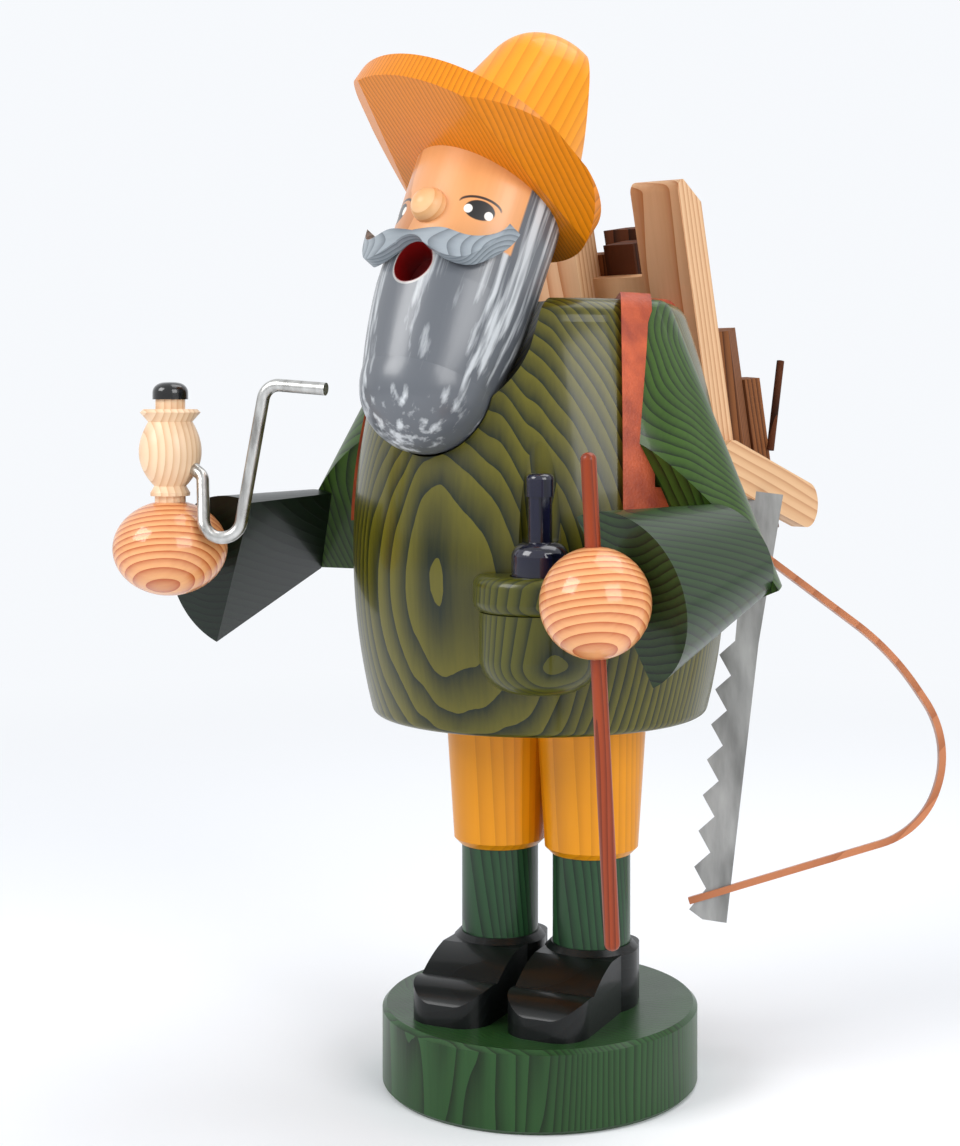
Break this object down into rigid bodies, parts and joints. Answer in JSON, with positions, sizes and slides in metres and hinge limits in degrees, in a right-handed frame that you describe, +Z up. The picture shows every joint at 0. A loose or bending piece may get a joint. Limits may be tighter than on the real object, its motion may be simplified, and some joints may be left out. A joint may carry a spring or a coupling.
{
  "type": "incense smoker figure",
  "caption": "Turned wooden incense smoker: a bearded wood carrier in a hat with stick, pipe, saw and loaded back frame, on a round base; the hollow upper body lifts off.",
  "frame": {"origin": "centre of the base's flat underside", "axes": "+Z up, the figure faces -Y, its left hand is on +X"},
  "size_m": [0.1172, 0.1328, 0.1982],
  "materials": {
    "base_green": "glossy stain",
    "bottle_black": "gloss lacquer",
    "bow_cane": "bent cane",
    "cap_black": "black lacquer",
    "carrier_wood": "raw wood",
    "coat_green": "glossy stain with strong grain",
    "face_beard": "painted beard, stained face",
    "firewood": "split log",
    "firewood_pale": "split log",
    "hand_wood": "lacquered softwood",
    "hat_orange": "glossy stain",
    "moustache_gray": "matt paint",
    "nose_wood": "raw wood",
    "pipe_wood": "raw wood",
    "plain_wood": "raw wood",
    "pocket_green": "glossy stain",
    "saw_steel": "steel sheet",
    "shoe_black": "glossy lacquer",
    "sleeve_green": "glossy stain",
    "stem_metal": "drawn wire",
    "stick_brown": "stain",
    "stocking_green": "satin stain",
    "strap_leather": "smooth leather",
    "tray_tin": "pressed sheet",
    "trouser_orange": "satin stain"
  },
  "bodies": {
    "stand": {"base_disc": "base_green", "hip_plug": "plain_wood", "leg_dowels": "plain_wood", "shoe_left": "shoe_black", "shoe_right": "shoe_black", "stocking_left": "stocking_green", "stocking_right": "stocking_green", "trouser_leg_left": "trouser_orange", "trouser_leg_right": "trouser_orange"},
    "tray": {"incense_tray": "tray_tin"},
    "figure": {"arm_dowels": "plain_wood", "carrier_cross_slat": "carrier_wood", "carrier_post_left": "carrier_wood", "carrier_post_right": "carrier_wood", "coat": "coat_green", "foot_rung": "carrier_wood", "foot_slat_left": "carrier_wood", "foot_slat_right": "carrier_wood", "forearm_left": "sleeve_green", "forearm_right": "sleeve_green", "hand_dowels": "plain_wood", "hand_left": "hand_wood", "hand_right": "hand_wood", "hat_brim": "hat_orange", "hat_crown": "hat_orange", "head_beard": "face_beard", "head_dowel": "plain_wood", "log_bark": "firewood", "log_lower": "firewood_pale", "log_rear": "firewood", "log_split_left": "firewood_pale", "log_split_right": "firewood_pale", "moustache": "moustache_gray", "nose": "nose_wood", "pipe_bowl": "pipe_wood", "pipe_cap": "cap_black", "pipe_stem": "stem_metal", "pocket_pouch": "pocket_green", "pocket_rim": "pocket_green", "saw_blade": "saw_steel", "saw_bow": "bow_cane", "shoulder_strap_left": "strap_leather", "shoulder_strap_right": "strap_leather", "side_strap_left": "strap_leather", "side_strap_right": "strap_leather", "twig": "firewood", "upper_arm_left": "sleeve_green", "upper_arm_right": "sleeve_green", "walking_stick": "stick_brown"},
    "bottle": {"bottle": "bottle_black", "bottle_cap": "bottle_black"}
  },
  "joints": [
    {"name": "figure_turn", "type": "hinge", "parent": "stand", "child": "tray", "pos_m": [0, 0, 0.0782], "axis": [0, 0, 1], "continuous": true},
    {"name": "figure_lift", "type": "slide", "parent": "tray", "child": "figure", "axis": [0, 0, 1], "range_m": [0, 0.06]},
    {"name": "bottle_lift", "type": "slide", "parent": "figure", "child": "bottle", "axis": [0, 0, 1], "range_m": [0, 0.025]}
  ]
}
